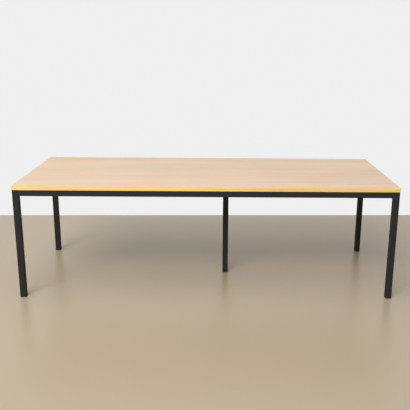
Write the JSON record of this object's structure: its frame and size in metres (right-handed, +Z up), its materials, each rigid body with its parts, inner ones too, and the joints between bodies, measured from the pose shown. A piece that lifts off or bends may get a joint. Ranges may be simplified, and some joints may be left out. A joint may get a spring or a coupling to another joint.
{
  "type": "meeting table",
  "caption": "Long rectangular table with an oak laminate top flush on a black square steel tube frame, with a middle leg off centre and screw levelling feet.",
  "frame": {"origin": "on the floor under the middle of the top, with the levelling feet wound in", "axes": "+X along the length to the right as seen from the front, +Y from the front edge to the rear edge, +Z up"},
  "size_m": [2.4, 0.95, 0.737],
  "materials": {
    "oak_laminate": "straight grained oak laminate, satin, grain along the length",
    "oak_edge": "oak edge band, satin lacquer, warmer than the top",
    "board_core": "bare particle board, hidden inside the top",
    "backing_sheet": "plain balancing sheet, matt",
    "black_frame": "black powder coat on steel, satin with a fine texture",
    "black_bolts": "black oxide steel",
    "zinc_steel": "bright zinc plated steel",
    "foot_plastic": "black moulded polyamide, matt"
  },
  "bodies": {
    "root": {"top_laminate": "oak_laminate", "front_edge_band": "oak_edge", "rear_edge_band": "oak_edge", "left_edge_band": "oak_edge", "right_edge_band": "oak_edge", "top_core": "board_core", "top_backing": "backing_sheet", "front_left_leg": "black_frame", "front_right_leg": "black_frame", "rear_left_leg": "black_frame", "rear_right_leg": "black_frame", "middle_leg": "black_frame", "front_rail": "black_frame", "rear_rail": "black_frame", "left_end_rail": "black_frame", "right_end_rail": "black_frame", "cross_rail": "black_frame", "front_left_spigot": "black_frame", "front_left_cleat": "black_frame", "front_right_spigot": "black_frame", "front_right_cleat": "black_frame", "rear_left_spigot": "black_frame", "rear_left_cleat": "black_frame", "rear_right_spigot": "black_frame", "rear_right_cleat": "black_frame", "front_rail_tabs": "black_frame", "rear_rail_tabs": "black_frame", "left_end_rail_tabs": "black_frame", "right_end_rail_tabs": "black_frame", "cross_rail_tabs": "black_frame", "left_end_welds": "black_frame", "right_end_welds": "black_frame", "middle_leg_welds": "black_frame", "spigot_bolts": "black_bolts", "cleat_screws": "zinc_steel", "top_screws": "zinc_steel", "foot_thread_inserts": "zinc_steel", "front_left_foot_plug": "foot_plastic", "front_right_foot_plug": "foot_plastic", "rear_left_foot_plug": "foot_plastic", "rear_right_foot_plug": "foot_plastic", "middle_foot_plug": "foot_plastic"},
    "front_left_stem": {"front_left_foot_stem": "zinc_steel"},
    "front_left_base": {"front_left_foot_base": "foot_plastic"},
    "front_right_stem": {"front_right_foot_stem": "zinc_steel"},
    "front_right_base": {"front_right_foot_base": "foot_plastic"},
    "rear_left_stem": {"rear_left_foot_stem": "zinc_steel"},
    "rear_left_base": {"rear_left_foot_base": "foot_plastic"},
    "rear_right_stem": {"rear_right_foot_stem": "zinc_steel"},
    "rear_right_base": {"rear_right_foot_base": "foot_plastic"},
    "middle_stem": {"middle_foot_stem": "zinc_steel"},
    "middle_base": {"middle_foot_base": "foot_plastic"}
  },
  "joints": [
    {"name": "front_left_foot_travel", "type": "slide", "parent": "root", "child": "front_left_stem", "axis": [0, 0, -1], "range_m": [0, 0.015]},
    {"name": "front_left_foot_turn", "type": "hinge", "parent": "front_left_stem", "child": "front_left_base", "pos_m": [-1.1795, -0.4545, 0.003], "axis": [0, 0, -1], "range_deg": [0, 4320]},
    {"name": "front_right_foot_travel", "type": "slide", "parent": "root", "child": "front_right_stem", "axis": [0, 0, -1], "range_m": [0, 0.015]},
    {"name": "front_right_foot_turn", "type": "hinge", "parent": "front_right_stem", "child": "front_right_base", "pos_m": [1.1795, -0.4545, 0.003], "axis": [0, 0, -1], "range_deg": [0, 4320]},
    {"name": "rear_left_foot_travel", "type": "slide", "parent": "root", "child": "rear_left_stem", "axis": [0, 0, -1], "range_m": [0, 0.015]},
    {"name": "rear_left_foot_turn", "type": "hinge", "parent": "rear_left_stem", "child": "rear_left_base", "pos_m": [-1.1795, 0.4545, 0.003], "axis": [0, 0, -1], "range_deg": [0, 4320]},
    {"name": "rear_right_foot_travel", "type": "slide", "parent": "root", "child": "rear_right_stem", "axis": [0, 0, -1], "range_m": [0, 0.015]},
    {"name": "rear_right_foot_turn", "type": "hinge", "parent": "rear_right_stem", "child": "rear_right_base", "pos_m": [1.1795, 0.4545, 0.003], "axis": [0, 0, -1], "range_deg": [0, 4320]},
    {"name": "middle_foot_travel", "type": "slide", "parent": "root", "child": "middle_stem", "axis": [0, 0, -1], "range_m": [0, 0.015]},
    {"name": "middle_foot_turn", "type": "hinge", "parent": "middle_stem", "child": "middle_base", "pos_m": [0.127, 0, 0.003], "axis": [0, 0, -1], "range_deg": [0, 4320]}
  ],
  "couplings": [
    {"joint": "front_left_foot_turn", "follows": "front_left_foot_travel", "rad_per_m": 5026.5},
    {"joint": "front_right_foot_turn", "follows": "front_right_foot_travel", "rad_per_m": 5026.5},
    {"joint": "rear_left_foot_turn", "follows": "rear_left_foot_travel", "rad_per_m": 5026.5},
    {"joint": "rear_right_foot_turn", "follows": "rear_right_foot_travel", "rad_per_m": 5026.5},
    {"joint": "middle_foot_turn", "follows": "middle_foot_travel", "rad_per_m": 5026.5}
  ]
}
